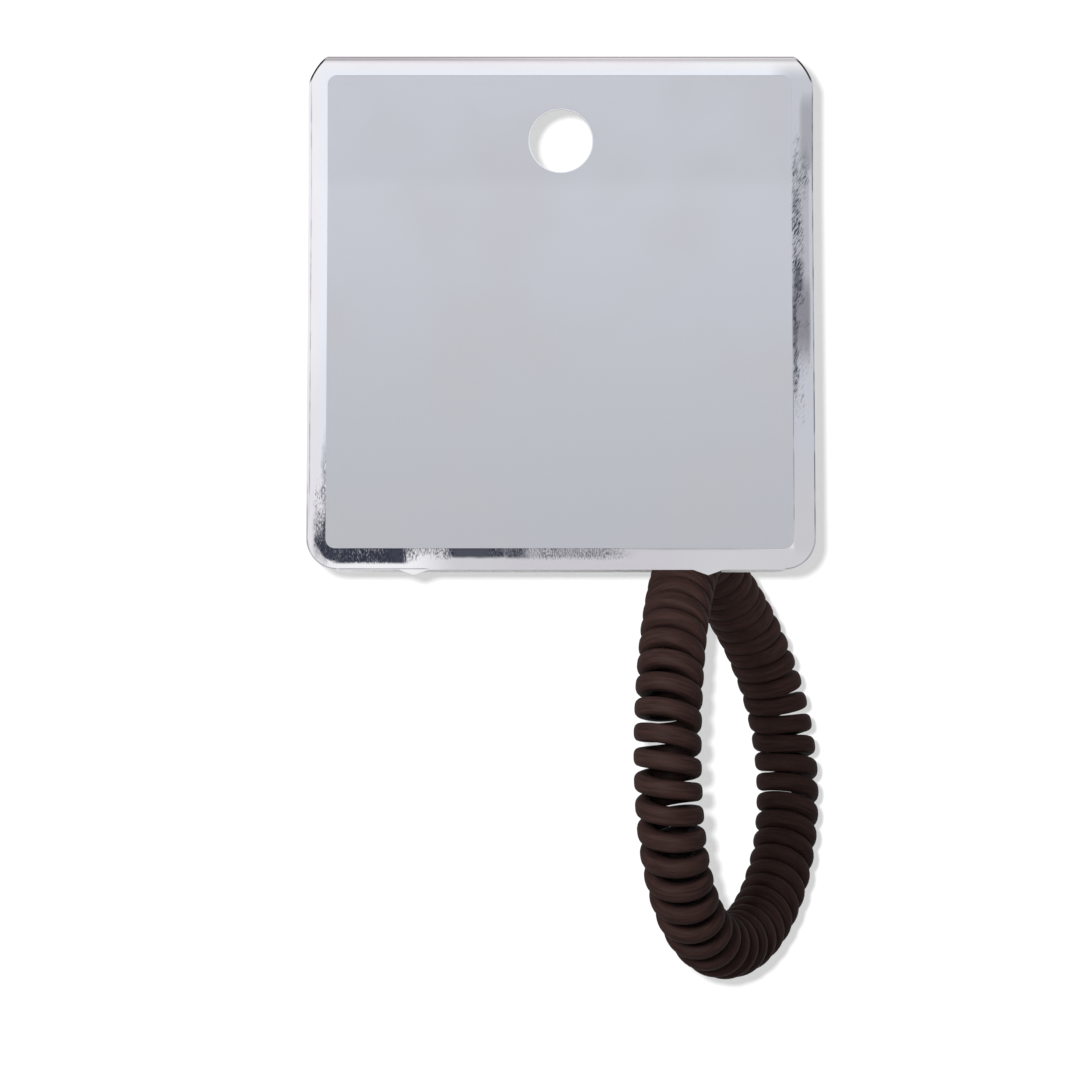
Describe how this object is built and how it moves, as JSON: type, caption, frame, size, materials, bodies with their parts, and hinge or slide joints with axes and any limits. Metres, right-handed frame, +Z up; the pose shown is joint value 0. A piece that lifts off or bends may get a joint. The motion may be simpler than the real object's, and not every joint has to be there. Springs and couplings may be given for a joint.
{
  "type": "spiral hair tie on a hang card",
  "caption": "Coiled elastic hair tie, one closed loop of left-handed helix, hanging from the bar of a folded square foil card with a round hang hole.",
  "frame": {"origin": "top of the hang hole's wall, halfway through the card's head, where a peg bears", "axes": "+X along the card to its right seen from the front, +Y from the front of the card to its back, +Z up along the card's height"},
  "size_m": [0.0802, 0.0626, 0.1408],
  "materials": {
    "coil_elastic": "satin",
    "foil_board": "satin",
    "panel_print": "matte"
  },
  "bodies": {
    "root": {"spiral_coil": "coil_elastic", "hang_card": "foil_board", "printed_panel": "panel_print"}
  },
  "joints": []
}
